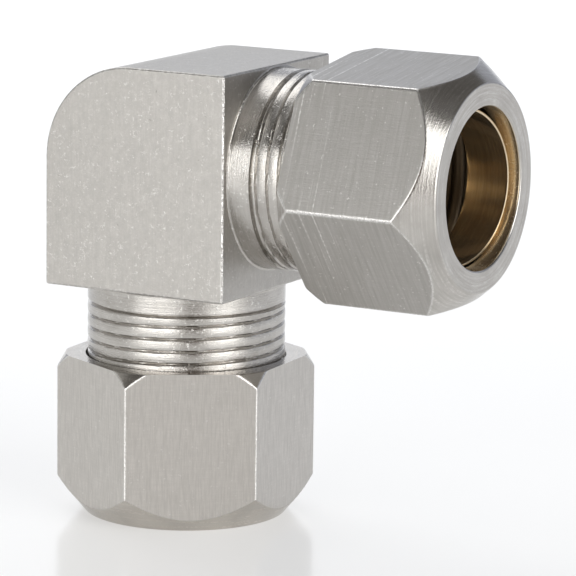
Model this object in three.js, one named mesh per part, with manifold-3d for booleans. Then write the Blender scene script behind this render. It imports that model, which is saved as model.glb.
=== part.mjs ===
// A 90 degree compression elbow for 18 mm pipe: a machined brass body with two threaded spigots,
// and a hex nut and a compression ring (olive) on each. Millimetres, +Z up.
// The side spigot points along +X and the lower one along -Z. The fitting stands on its lower nut,
// with the origin on the ground under the middle of its box.
import * as THREE from 'three';
import { mergeVertices } from 'three/addons/utils/BufferGeometryUtils.js';
import Module from 'manifold-3d';

const wasm = await Module();
wasm.setup();

// ---- Driving dimensions -----------------------------------------------------------------------

const TUBE_DIAMETER = 18;

// The block, measured from the point where the two spigot axes cross.
const BLOCK_LEFT = 12.1;
const BLOCK_RIGHT = 12.3;
const BLOCK_TOP = 12.3;
const BLOCK_BOTTOM = 14.5;
const BLOCK_DEPTH = 25.2;
const BLOCK_CORNER_RADIUS = 11.5;
const BLOCK_EDGE_ROUND = 0.5;

// The thread is right handed, 24 mm by 1.5 mm, and shallower than a standard one.
const THREAD_PITCH = 1.5;
const THREAD_MAJOR_RADIUS = 11.92;
const THREAD_DEPTH = 0.5;
const THREAD_CREST = 0.4;
const THREAD_FLANK_ANGLE = Math.PI / 6;
const THREAD_RADIAL_CLEARANCE = 0.2;
const THREAD_AXIAL_CLEARANCE = 0.15;

// The spigots. Both end at the same distance from the crossing of the axes.
const CENTRE_TO_END = 29.6;
const SIDE_COLLAR = 3.0;
const LOWER_COLLAR = 2.3;
const UNDERCUT_WIDTH = 0.4;
const UNDERCUT_RADIUS = 11.3;
const THREAD_START_CHAMFER = 0.6;
const SPIGOT_CHAMFER = 1.0;
const SOCKET_RADIUS = TUBE_DIAMETER / 2 + 0.15;
const SOCKET_END = 12.8;
const MOUTH_RADIUS = 10.4;
const MOUTH_DEPTH = 1.8;
const WATERWAY_RADIUS = 7.8;
const WATERWAY_PAST_CENTRE = 5.8;
const DRILL_POINT = 2.4;

// The nuts. Depths are measured inwards from the outer face, which the tube goes through.
const NUT_ACROSS_FLATS = 27;
const NUT_LENGTH = 19.2;
const NUT_FACE_RADIUS = 12.2;
const NUT_BACK_FACE_RADIUS = 14.5;
const NUT_FRONT_CHAMFER_ANGLE = THREE.MathUtils.degToRad(50);
const NUT_BACK_CHAMFER_ANGLE = THREE.MathUtils.degToRad(58);
const NUT_HOLE_RADIUS = TUBE_DIAMETER / 2 + 0.5;
const NUT_HOLE_CHAMFER = 0.2;
const NUT_SEAT_DEPTH = 2.4;
const NUT_SEAT_ANGLE = Math.PI / 4;
const NUT_CHAMBER_RADIUS = 11.1;
const NUT_THREAD_DEPTH = 8.6;
const NUT_RUNOUT = 1.2;
const NUT_RELIEF_MARGIN = 0.1;
const NUT_RELIEF_CONE = 0.6;
const NUT_ENTRY_LENGTH = 1.2;
const NUT_ENTRY_MARGIN = 0.05;
const NUT_ENTRY_UNDERLAP = 0.1;

// Where each nut's outer face stands, from the crossing of the axes.
const SIDE_NUT_FACE = 39.7;
const LOWER_NUT_FACE = 42.8;

// The middle of the fitting's box along X, from the crossing of the axes.
const BOX_MIDDLE = 12.9;

// Each nut's turn about its own axis: the angle of one corner of its hexagon.
const SIDE_NUT_TURN = THREE.MathUtils.degToRad(37.8);
const LOWER_NUT_TURN = THREE.MathUtils.degToRad(-33.3);

// The olives. The lower one lies square on its nut's seat. The side one is loose and lies cocked,
// leaning about a vertical line and dropped a little from the axis.
const OLIVE_BORE_RADIUS = TUBE_DIAMETER / 2 + 0.05;
const OLIVE_END_RADIUS = 9.35;
const OLIVE_MIDDLE_RADIUS = 9.95;
const OLIVE_LENGTH = 6.0;
const OLIVE_CONE = 2.6;
const LOWER_OLIVE_DEPTH = 2.6;
const SIDE_OLIVE_DEPTH = 3.0;
const SIDE_OLIVE_LEAN = 11.5;
const SIDE_OLIVE_SHIFT = 0.45;
const SIDE_OLIVE_DROP = 0.15;

const ROUND_SEGMENTS = 40;
const THREAD_SEGMENTS = 24;
const ARC_SEGMENTS = 16;
const BEVEL_SEGMENTS = 2;

// Points closer than this are one vertex.
const MERGE_DISTANCE = 1e-5;

// How far a cutting or joining solid runs past the surface that it cuts or joins.
const OVERRUN = 1;

// ---- Solids -----------------------------------------------------------------------------------

// Turns a three.js geometry into a closed solid that can be joined and cut.
function solid(geometry) {
  const bare = geometry.clone();
  for (const name of Object.keys(bare.attributes)) {
    if (name !== 'position') bare.deleteAttribute(name);
  }
  const merged = mergeVertices(bare, MERGE_DISTANCE);
  const triangles = merged.index.array;
  return new wasm.Manifold(new wasm.Mesh({
    numProp: 3,
    vertProperties: new Float32Array(merged.attributes.position.array),
    triVerts: new Uint32Array(triangles),
  }));
}

function geometryOf(manifold) {
  const { vertProperties, triVerts } = manifold.getMesh();
  const geometry = new THREE.BufferGeometry();
  geometry.setAttribute('position', new THREE.BufferAttribute(new Float32Array(vertProperties), 3));
  geometry.setIndex(new THREE.BufferAttribute(new Uint32Array(triVerts), 1));
  geometry.computeVertexNormals();
  return geometry;
}

// A solid turned about +Z. The outline is a list of [radius, z] from the lower end of the axis up.
function turned(outline) {
  const points = outline.map(([radius, z]) => new THREE.Vector2(radius, z));
  const lathe = new THREE.LatheGeometry(points, ROUND_SEGMENTS);
  return solid(lathe.rotateX(Math.PI / 2));
}

// A plain cylinder about +Z.
function rod(radius, from, to) {
  return turned([[0, from], [radius, from], [radius, to], [0, to]]);
}

// A long screw about +Z, with its outline climbing one pitch a turn, right handed. The outline of
// one pitch is a list of [radius, z]. Both ends are ragged, so the caller trims them.
function screw(onePitch, from, to) {
  const rows = onePitch.length;
  const spareTurns = 2;
  const turns = Math.ceil((to - from) / THREAD_PITCH) + spareTurns;
  const last = rows * turns;
  const positions = [];
  const index = [];
  const columns = [];
  for (let column = 0; column < THREAD_SEGMENTS; column += 1) {
    const share = column / THREAD_SEGMENTS;
    const angle = share * 2 * Math.PI;
    const top = column === 0 ? last + rows : last;
    columns.push(positions.length / 3);
    for (let row = 0; row <= top; row += 1) {
      const [radius, rise] = onePitch[row % rows];
      const climb = Math.floor(row / rows) + share - 1;
      const z = from + rise + climb * THREAD_PITCH;
      positions.push(radius * Math.cos(angle), radius * Math.sin(angle), z);
    }
  }
  const at = (column, row) => {
    const closing = column === THREAD_SEGMENTS;
    return closing ? columns[0] + row + rows : columns[column] + row;
  };
  for (let column = 0; column < THREAD_SEGMENTS; column += 1) {
    for (let row = 0; row < last; row += 1) {
      const [a, b] = [at(column, row), at(column + 1, row)];
      const [c, d] = [at(column + 1, row + 1), at(column, row + 1)];
      index.push(a, b, c, a, c, d);
    }
  }
  const bottomLoop = screwEnd(at, 0, rows);
  const topLoop = screwEnd(at, last, rows);
  const bottomCentre = positions.length / 3;
  positions.push(0, 0, from - THREAD_PITCH / 2);
  positions.push(0, 0, from + (turns - 0.5) * THREAD_PITCH);
  for (let i = 0; i < bottomLoop.length; i += 1) {
    const next = (i + 1) % bottomLoop.length;
    index.push(bottomCentre, bottomLoop[next], bottomLoop[i]);
    index.push(bottomCentre + 1, topLoop[i], topLoop[next]);
  }
  const geometry = new THREE.BufferGeometry();
  geometry.setAttribute('position', new THREE.Float32BufferAttribute(positions, 3));
  geometry.setIndex(index);
  return solid(geometry);
}

// The loop round one end of a screw: once round at one row, then down the step of one pitch.
function screwEnd(at, row, rows) {
  const loop = [];
  for (let column = 0; column < THREAD_SEGMENTS; column += 1) loop.push(at(column, row));
  for (let step = rows; step > 0; step -= 1) loop.push(at(0, row + step));
  return loop;
}

// ---- The body's pieces ------------------------------------------------------------------------

const threadRootRadius = THREAD_MAJOR_RADIUS - THREAD_DEPTH;

// One pitch of thread: crest in the middle, with both flanks at the thread angle.
function threadOutline(crestRadius, rootRadius, crestWidth) {
  const flank = (crestRadius - rootRadius) * Math.tan(THREAD_FLANK_ANGLE);
  const middle = THREAD_PITCH / 2;
  return [
    [rootRadius, middle - crestWidth / 2 - flank],
    [crestRadius, middle - crestWidth / 2],
    [crestRadius, middle + crestWidth / 2],
    [rootRadius, middle + crestWidth / 2 + flank],
  ];
}

function maleThread(from, to) {
  const outline = threadOutline(THREAD_MAJOR_RADIUS, threadRootRadius, THREAD_CREST);
  const spareRadius = 0.5;
  const blankRadius = THREAD_MAJOR_RADIUS + spareRadius;
  const blank = turned([
    [0, from],
    [THREAD_MAJOR_RADIUS - THREAD_START_CHAMFER, from],
    [blankRadius, from + THREAD_START_CHAMFER + spareRadius],
    [blankRadius, to - SPIGOT_CHAMFER - spareRadius],
    [THREAD_MAJOR_RADIUS - SPIGOT_CHAMFER, to],
    [0, to],
  ]);
  return screw(outline, 0, to).intersect(blank);
}

// A spigot along +Z from the crossing of the axes, where the block's face is at `face`.
function spigot(face, collar) {
  const inset = 2 * OVERRUN;
  const threadStart = face + collar + UNDERCUT_WIDTH / 2;
  const collarRod = rod(THREAD_MAJOR_RADIUS, face - inset, face + collar);
  const neck = rod(UNDERCUT_RADIUS, face, threadStart + inset);
  return collarRod.add(neck).add(maleThread(threadStart, CENTRE_TO_END));
}

// The passage inside a spigot, along +Z: a drilled waterway, the tube's socket and a coned mouth.
function passage() {
  return turned([
    [0, -WATERWAY_PAST_CENTRE - DRILL_POINT],
    [WATERWAY_RADIUS, -WATERWAY_PAST_CENTRE],
    [WATERWAY_RADIUS, SOCKET_END],
    [SOCKET_RADIUS, SOCKET_END],
    [SOCKET_RADIUS, CENTRE_TO_END - MOUTH_DEPTH],
    [MOUTH_RADIUS, CENTRE_TO_END],
    [MOUTH_RADIUS, CENTRE_TO_END + OVERRUN],
    [0, CENTRE_TO_END + OVERRUN],
  ]);
}

// The square bar with one big rounded corner, away from both spigots.
function block() {
  const outline = new THREE.Shape();
  outline.moveTo(-BLOCK_LEFT, -BLOCK_BOTTOM);
  outline.lineTo(BLOCK_RIGHT, -BLOCK_BOTTOM);
  outline.lineTo(BLOCK_RIGHT, BLOCK_TOP);
  outline.lineTo(-BLOCK_LEFT + BLOCK_CORNER_RADIUS, BLOCK_TOP);
  outline.absarc(
    -BLOCK_LEFT + BLOCK_CORNER_RADIUS,
    BLOCK_TOP - BLOCK_CORNER_RADIUS,
    BLOCK_CORNER_RADIUS,
    Math.PI / 2,
    Math.PI,
  );
  outline.closePath();
  const bar = new THREE.ExtrudeGeometry(outline, {
    depth: BLOCK_DEPTH - 2 * BLOCK_EDGE_ROUND,
    curveSegments: ARC_SEGMENTS,
    bevelThickness: BLOCK_EDGE_ROUND,
    bevelSize: BLOCK_EDGE_ROUND,
    bevelOffset: -BLOCK_EDGE_ROUND,
    bevelSegments: BEVEL_SEGMENTS,
  });
  bar.translate(0, 0, -BLOCK_DEPTH / 2 + BLOCK_EDGE_ROUND);
  return solid(bar.rotateX(Math.PI / 2));
}

// Points a solid built along +Z along +X or along -Z. Both keep their screw threads right handed.
const alongX = (shape) => shape.rotate([0, 90, 0]);
const alongMinusZ = (shape) => shape.rotate([180, 0, 0]);

function elbowBody() {
  const outside = block()
    .add(alongX(spigot(BLOCK_RIGHT, SIDE_COLLAR)))
    .add(alongMinusZ(spigot(BLOCK_BOTTOM, LOWER_COLLAR)));
  return outside.subtract(alongX(passage())).subtract(alongMinusZ(passage()));
}

// ---- Nuts and olives, along +Z from the crossing of the axes ----------------------------------

const hexCornerRadius = NUT_ACROSS_FLATS / 2 / Math.cos(Math.PI / 6);

function hexBar(turn, from, to) {
  const outline = new THREE.Shape();
  for (let corner = 0; corner < 6; corner += 1) {
    const angle = turn + (corner * Math.PI) / 3;
    const [x, y] = [hexCornerRadius * Math.cos(angle), hexCornerRadius * Math.sin(angle)];
    if (corner === 0) outline.moveTo(x, y);
    else outline.lineTo(x, y);
  }
  outline.closePath();
  const bar = new THREE.ExtrudeGeometry(outline, { depth: to - from, bevelEnabled: false });
  return solid(bar.translate(0, 0, from));
}

// The turned blank that cuts the chamfers on both ends of the hexagon.
function nutBlank(face) {
  const widest = hexCornerRadius + OVERRUN;
  const back = face - NUT_LENGTH;
  const backRise = (widest - NUT_BACK_FACE_RADIUS) * Math.tan(NUT_BACK_CHAMFER_ANGLE);
  const frontRise = (widest - NUT_FACE_RADIUS) * Math.tan(NUT_FRONT_CHAMFER_ANGLE);
  return turned([
    [0, back],
    [NUT_BACK_FACE_RADIUS, back],
    [widest, back + backRise],
    [widest, face - frontRise],
    [NUT_FACE_RADIUS, face],
    [0, face],
  ]);
}

function nutHole(face) {
  const seat = face - NUT_SEAT_DEPTH;
  const seatLength = (NUT_CHAMBER_RADIUS - NUT_HOLE_RADIUS) / Math.tan(NUT_SEAT_ANGLE);
  const threadTop = face - NUT_THREAD_DEPTH;
  const reliefRadius = THREAD_MAJOR_RADIUS + THREAD_RADIAL_CLEARANCE + NUT_RELIEF_MARGIN;
  return turned([
    [0, threadTop - NUT_RUNOUT],
    [reliefRadius, threadTop - NUT_RUNOUT],
    [reliefRadius, threadTop],
    [NUT_CHAMBER_RADIUS, threadTop + NUT_RELIEF_CONE],
    [NUT_CHAMBER_RADIUS, seat - seatLength],
    [NUT_HOLE_RADIUS, seat],
    [NUT_HOLE_RADIUS, face - NUT_HOLE_CHAMFER],
    [NUT_HOLE_RADIUS + NUT_HOLE_CHAMFER, face],
    [NUT_HOLE_RADIUS + NUT_HOLE_CHAMFER, face + OVERRUN],
    [0, face + OVERRUN],
  ]);
}

// The nut's thread: the space of the body's own thread, grown by the running clearance.
function femaleThread(face) {
  const crestRadius = THREAD_MAJOR_RADIUS + THREAD_RADIAL_CLEARANCE;
  const rootRadius = threadRootRadius + THREAD_RADIAL_CLEARANCE;
  const narrowing = 2 * THREAD_RADIAL_CLEARANCE * Math.tan(THREAD_FLANK_ANGLE);
  const crestWidth = THREAD_CREST - narrowing + 2 * THREAD_AXIAL_CLEARANCE;
  const back = face - NUT_LENGTH;
  const top = face - NUT_THREAD_DEPTH - NUT_RUNOUT / 2;
  const entryRadius = crestRadius + NUT_ENTRY_MARGIN;
  const space = rod(entryRadius, back - OVERRUN, top);
  const entry = turned([
    [0, back - OVERRUN],
    [entryRadius, back - OVERRUN],
    [entryRadius, back],
    [rootRadius - NUT_ENTRY_UNDERLAP, back + NUT_ENTRY_LENGTH],
    [0, back + NUT_ENTRY_LENGTH],
  ]);
  const outline = threadOutline(crestRadius, rootRadius, crestWidth);
  return screw(outline, 0, face).intersect(space).add(entry);
}

function nut(face, turn) {
  const bar = hexBar(turn, face - NUT_LENGTH - OVERRUN, face + OVERRUN).intersect(nutBlank(face));
  return bar.subtract(nutHole(face)).subtract(femaleThread(face));
}

// An olive with the middle of its outer end at the origin.
function olive() {
  return turned([
    [OLIVE_BORE_RADIUS, -OLIVE_LENGTH],
    [OLIVE_END_RADIUS, -OLIVE_LENGTH],
    [OLIVE_MIDDLE_RADIUS, -OLIVE_LENGTH + OLIVE_CONE],
    [OLIVE_MIDDLE_RADIUS, -OLIVE_CONE],
    [OLIVE_END_RADIUS, 0],
    [OLIVE_BORE_RADIUS, 0],
    [OLIVE_BORE_RADIUS, -OLIVE_LENGTH],
  ]);
}

function sideOlive() {
  return alongX(olive())
    .rotate([0, 0, -SIDE_OLIVE_LEAN])
    .translate([SIDE_NUT_FACE - SIDE_OLIVE_DEPTH, -SIDE_OLIVE_SHIFT, -SIDE_OLIVE_DROP]);
}

function lowerOlive() {
  return alongMinusZ(olive()).translate([0, 0, LOWER_OLIVE_DEPTH - LOWER_NUT_FACE]);
}

// ---- The scene graph --------------------------------------------------------------------------

const nickel = { color: 0xb9b6b0, roughness: 0.35, metalness: 1.0 };
const brass = { color: 0xc9a86a, roughness: 0.4, metalness: 1.0 };

function piece(name, shape, finish) {
  const mesh = new THREE.Mesh(geometryOf(shape), new THREE.MeshStandardMaterial(finish));
  mesh.name = name;
  return mesh;
}

const fitting = new THREE.Group();
fitting.position.set(-BOX_MIDDLE, 0, LOWER_NUT_FACE);
fitting.add(
  piece('elbow_body', elbowBody(), nickel),
  piece('side_nut', alongX(nut(SIDE_NUT_FACE, SIDE_NUT_TURN)), nickel),
  piece('side_olive', sideOlive(), brass),
  piece('lower_nut', alongMinusZ(nut(LOWER_NUT_FACE, LOWER_NUT_TURN)), nickel),
  piece('lower_olive', lowerOlive(), brass),
);

const part = new THREE.Group();
part.add(fitting);

export default part;
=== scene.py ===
import math

import bpy
import numpy as np
from mathutils import Matrix, Vector

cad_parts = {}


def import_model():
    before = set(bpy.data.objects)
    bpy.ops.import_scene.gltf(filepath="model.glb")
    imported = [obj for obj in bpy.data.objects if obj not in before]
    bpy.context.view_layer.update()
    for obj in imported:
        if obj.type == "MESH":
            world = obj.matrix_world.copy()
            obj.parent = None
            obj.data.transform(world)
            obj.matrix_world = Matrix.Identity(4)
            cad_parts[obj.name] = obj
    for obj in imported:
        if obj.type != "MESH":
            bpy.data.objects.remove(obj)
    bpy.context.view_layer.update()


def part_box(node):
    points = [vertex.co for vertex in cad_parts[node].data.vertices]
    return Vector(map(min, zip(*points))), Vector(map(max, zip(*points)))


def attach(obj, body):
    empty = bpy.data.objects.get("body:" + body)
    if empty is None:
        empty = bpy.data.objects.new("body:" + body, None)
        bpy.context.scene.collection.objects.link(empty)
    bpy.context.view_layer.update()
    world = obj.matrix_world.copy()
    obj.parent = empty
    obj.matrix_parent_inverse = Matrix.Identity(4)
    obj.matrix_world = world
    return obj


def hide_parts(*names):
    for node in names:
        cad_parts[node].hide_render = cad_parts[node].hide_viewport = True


# The looks of a 90 degree compression elbow: a nickel plated brass body with two threaded
# spigots, and a hex nut and a bare brass olive on each. Meshes are built in millimetres, with +Z
# along their own axis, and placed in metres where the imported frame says.

MM = 0.001

# ---- Sizes in millimetres, from the point where the two spigot axes cross --------------------

TUBE_RADIUS = 9.0

BLOCK_LEFT = 12.1
BLOCK_RIGHT = 12.3
BLOCK_TOP = 12.3
BLOCK_BOTTOM = 14.5
BLOCK_DEPTH = 25.2
BLOCK_BIG_ROUND = 11.5
BLOCK_CORNER_ROUND = 0.3
BLOCK_EDGE_ROUND = 0.32

THREAD_PITCH = 1.5
THREAD_CREST_RADIUS = 11.92
THREAD_ROOT_RADIUS = 11.56
THREAD_ROUNDING = 0.12

CENTRE_TO_END = 29.6
SIDE_COLLAR = 3.0
LOWER_COLLAR = 2.3
COLLAR_FILLET = 0.3
COLLAR_EDGE_ROUND = 0.15
UNDERCUT_WIDTH = 0.4
UNDERCUT_RADIUS = 11.46
UNDERCUT_ROUND = 0.1
SPIGOT_CHAMFER = 1.0
SPIGOT_IN_BLOCK = 1.5
SPIGOT_FOOT = 0.1

SOCKET_RADIUS = TUBE_RADIUS + 0.15
SOCKET_END = 12.8
SOCKET_EDGE_ROUND = 0.1
MOUTH_RADIUS = 10.4
MOUTH_DEPTH = 1.8
MOUTH_EDGE_ROUND = 0.2
WATERWAY_RADIUS = 7.8
WATERWAY_PAST_CENTRE = 5.8
DRILL_POINT = 2.4
DRILL_TIP_RADIUS = 0.2

NUT_ACROSS_FLATS = 27.0
NUT_PAST_CORNERS = 0.1
NUT_WIDEST_RADIUS = NUT_ACROSS_FLATS / 2 / math.cos(math.radians(30)) + NUT_PAST_CORNERS
NUT_FACE_RADIUS = 12.2
NUT_FACE_ROUND = 0.25
NUT_BACK_FACE_RADIUS = 14.5
NUT_BACK_FACE_ROUND = 0.15
NUT_HOLE_RADIUS = TUBE_RADIUS + 0.5
NUT_HOLE_ROUND = 0.32
NUT_SEAT_DEPTH = 2.4
NUT_CHAMBER_RADIUS = 11.1
NUT_CHAMBER_ROUND = 0.2
NUT_THREAD_DEPTH = 8.6
NUT_RELIEF_CONE = 0.6
NUT_RUNOUT = 1.2
NUT_THREAD_CLEARANCE = 0.2
NUT_CREST_RADIUS = THREAD_CREST_RADIUS + NUT_THREAD_CLEARANCE
NUT_ROOT_RADIUS = THREAD_ROOT_RADIUS + NUT_THREAD_CLEARANCE
NUT_ENTRY_RADIUS = NUT_CREST_RADIUS + 0.05
NUT_ENTRY_ROUND = 0.1
NUT_CREASE_ROUND = 0.12
SIDE_NUT_EDGE_ROUND = 0.28
LOWER_NUT_EDGE_ROUND = 0.14

OLIVE_BORE_RADIUS = TUBE_RADIUS + 0.05
OLIVE_END_RADIUS = 9.35
OLIVE_MIDDLE_RADIUS = 9.95
OLIVE_LENGTH = 6.0
OLIVE_CONE = 2.6
OLIVE_MIDDLE_ROUND = 1.0
OLIVE_END_ROUND = 0.12
OLIVE_BORE_ROUND = 0.06
LOWER_OLIVE_DEPTH = 2.6
SIDE_OLIVE_DEPTH = 3.0
SIDE_OLIVE_SHIFT = 0.45
SIDE_OLIVE_DROP = 0.15

# ---- Slopes and turns ------------------------------------------------------------------------

# These three are millimetres of radius for each millimetre along the axis.
THREAD_START_SLOPE = 2.0
COLLAR_END_SLOPE = 12.0
NUT_ENTRY_SLOPE = 1.0

# These two are millimetres along the axis for each millimetre of radius.
NUT_FRONT_SLOPE = math.tan(math.radians(50))
NUT_BACK_SLOPE = math.tan(math.radians(58))

# Each nut's turn about its own axis: the angle of one corner of its hexagon.
SIDE_NUT_CORNER = math.radians(37.8)
LOWER_NUT_CORNER = math.radians(-33.3)

# How far the side olive lies from square in its nut.
SIDE_OLIVE_LEAN = math.radians(11.5)

# The turns that take a piece's own +Z to where the side and the lower spigot point.
SIDEWAYS = Matrix.Rotation(math.radians(90), 4, "Y")
DOWNWARDS = Matrix.Rotation(math.radians(180), 4, "X")

# ---- The thread's form, painted edge highlight and wear, and finishes ------------------------

# The share of the thread's depth that its crowned crest falls by, and where its groove starts, as
# a share of the way from the middle of the crest to the middle of the groove.
CREST_CROWN = 0.22
GROOVE_START = 0.72

# How much painted highlight and wear the block's other edges get, where its front and back edges
# by the side spigot get 1.
SLIGHT_WEAR_AND_HIGHLIGHT = 0.35

# How far the painted highlight and wear reach from a nut's creases, and from its corners beyond
# their rounding.
NUT_CREASE_WEAR_AND_HIGHLIGHT = 0.14
NUT_CORNER_WEAR_AND_HIGHLIGHT = 0.1

# How far in from its back a nut's thread is plated, how near the hole's radius its bare finish
# starts, and how far past a spigot's mouth the mouth's painted shade runs on into the socket.
NUT_PLATED_ENTRY = 2.5
NUT_BARE_MARGIN = 0.06
MOUTH_SHADE_MARGIN = 0.3

# The places of the looks in the body's list and in each nut's list. The mouth's look and a nut's
# last look are dark brass: painted shade inside.
BLOCK_LOOK, SIDE_LOOK, LOWER_LOOK, BORE_LOOK, MOUTH_PAINTED_SHADE_LOOK = range(5)
NUT_PLATED, NUT_BARE, NUT_PAINTED_SHADE = range(3)

# ---- How fine the meshes are -----------------------------------------------------------------

# Columns are counted round the axis. Steps are the longest stretches of an outline, in
# millimetres, and the spigot's rings are close together from COLLAR_END_FINE before its collar's end.
SPIGOT_COLUMNS = 200
PASSAGE_COLUMNS = 160
OLIVE_COLUMNS = 240
FOOT_STEP = 0.5
COLLAR_STEP = 0.4
COLLAR_END_FINE = 0.2
SPIGOT_THREAD_STEP = 0.075
PASSAGE_STEP = 2.0
NUT_BACK_STEP = 0.09
NUT_MIDDLE_STEP = 1.5
NUT_FRONT_STEP = 0.1
NUT_CHAMBER_STEP = 0.8
NUT_THREAD_STEP = 0.1
OLIVE_STEP = 0.4
ARC_STEP = math.radians(18)
BLOCK_EDGE_STEPS = 5
BLOCK_ARC_STEPS_PER_MM = 6
SMALLEST_ROUND = 0.02

# Faces of the body that meet at more than this have a hard edge, and big faces stay this flat.
BODY_CREASE = math.radians(35)
FLAT_FACE_WEIGHT = 80

# ---- Rings: surfaces round the +Z axis -------------------------------------------------------


def smooth_min(a, b, blend):
    """The lower of a and b, rounded where they are nearly equal."""
    near = np.maximum(blend - np.abs(a - b), 0) / blend
    return np.minimum(a, b) - near * near * blend / 4


def smooth_max(a, b, blend):
    """The higher of a and b, rounded where they are nearly equal."""
    return -smooth_min(-a, -b, blend)


def corner_arc(before, corner, after, rounding):
    """The points of an arc that rounds one corner of an outline. A corner that is nearly straight,
    or has no rounding, stays as it is."""
    to_before = before - corner
    to_after = after - corner
    to_before /= np.linalg.norm(to_before)
    to_after /= np.linalg.norm(to_after)
    half = math.acos(max(-1, min(1, float(to_before @ to_after)))) / 2
    if not rounding or half > math.radians(89):
        return [corner]
    middle = to_before + to_after
    middle /= np.linalg.norm(middle)
    centre = corner + middle * rounding / math.sin(half)
    start = corner + to_before * rounding / math.tan(half) - centre
    end = corner + to_after * rounding / math.tan(half) - centre
    turn = math.pi - 2 * half
    steps = max(2, math.ceil(turn / ARC_STEP))
    points = []
    for k in range(steps + 1):
        t = k / steps
        swing = math.sin((1 - t) * turn) * start + math.sin(t * turn) * end
        points.append(centre + swing / math.sin(turn))
    return points


def rounded_outline(corners, step):
    """Points [(radius, height)] through corners (radius, height, rounding), an arc at each rounding,
    and no stretch longer than step. The first and last corners aren't rounded."""
    places = [np.array(corner[:2], float) for corner in corners]
    points = [places[0]]
    for i in range(1, len(corners) - 1):
        points += corner_arc(places[i - 1], places[i], places[i + 1], corners[i][2])
    points.append(places[-1])
    filled = [points[0]]
    for a, b in zip(points, points[1:]):
        pieces = max(1, math.ceil(np.linalg.norm(b - a) / step - 1e-6))
        filled.extend(a + (b - a) * (k + 1) / pieces for k in range(pieces))
    return np.array(filled)


def even_angles(count):
    return np.arange(count) * 2 * math.pi / count


def ring_mesh(name, radii, heights, angles, capped):
    """A closed mesh of rings round +Z. radii has a row for each ring and a column for each angle.
    With caps, the first and last rings are filled; without, the last ring joins the first."""
    rings, columns = radii.shape
    points = np.stack(
        [radii * np.cos(angles), radii * np.sin(angles), heights + 0 * radii], axis=-1
    )
    last = rings - 1 if capped else rings
    faces = []
    for i in range(last):
        a, b = i * columns, ((i + 1) % rings) * columns
        for j in range(columns):
            k = (j + 1) % columns
            faces.append((a + j, a + k, b + k, b + j))
    if capped:
        top = (rings - 1) * columns
        faces.append(tuple(reversed(range(columns))))
        faces.append(tuple(range(top, top + columns)))
    mesh = bpy.data.meshes.new(name)
    mesh.from_pydata((points.reshape(-1, 3) * MM).tolist(), [], faces)
    mesh.polygons.foreach_set("use_smooth", [True] * len(mesh.polygons))
    return mesh


def thread_radius(angles, heights, crest, root):
    """The radius of a right-handed thread at each height (row) and angle (column): a broad,
    slightly crowned crest and a narrow groove."""
    turns = heights[:, None] / THREAD_PITCH - angles[None, :] / (2 * math.pi)
    off_crest = 2 * np.abs(turns - 0.5 - np.round(turns - 0.5))
    into_groove = np.clip((off_crest - GROOVE_START) / (1 - GROOVE_START), 0, 1)
    groove = into_groove * into_groove * (3 - 2 * into_groove)
    fall = CREST_CROWN * off_crest * off_crest + (1 - CREST_CROWN) * groove
    return crest - (crest - root) * fall


# ---- Objects ---------------------------------------------------------------------------------


def object_of(mesh):
    made = bpy.data.objects.new(mesh.name, mesh)
    bpy.context.scene.collection.objects.link(made)
    return made


def turned_object(mesh, turn):
    """An object of a mesh that is turned from its own +Z to where it points on the body."""
    mesh.transform(turn)
    return object_of(mesh)


def combine(target, other, operation):
    """Joins or cuts target with other, and removes other."""
    modifier = target.modifiers.new(operation, "BOOLEAN")
    modifier.operation = operation
    modifier.solver = "MANIFOLD"
    modifier.object = other
    bpy.context.view_layer.update()
    evaluated = target.evaluated_get(bpy.context.evaluated_depsgraph_get())
    result = bpy.data.meshes.new_from_object(evaluated)
    target.modifiers.clear()
    target.data = result
    bpy.data.objects.remove(other)


def smooth_shading(thing, crease):
    """Smooth shading with hard edges where faces meet at more than crease, big faces kept flat."""
    thing.data.polygons.foreach_set("use_smooth", [True] * len(thing.data.polygons))
    thing.data.set_sharp_from_angle(angle=crease)
    weighted = thing.modifiers.new("weighted_normals", "WEIGHTED_NORMAL")
    weighted.keep_sharp = True
    weighted.weight = FLAT_FACE_WEIGHT


def add_attribute(mesh, name, values):
    attribute = mesh.attributes.new(name, "FLOAT", "POINT")
    attribute.data.foreach_set("value", np.asarray(values, np.float32).ravel())


# ---- The body --------------------------------------------------------------------------------


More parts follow.
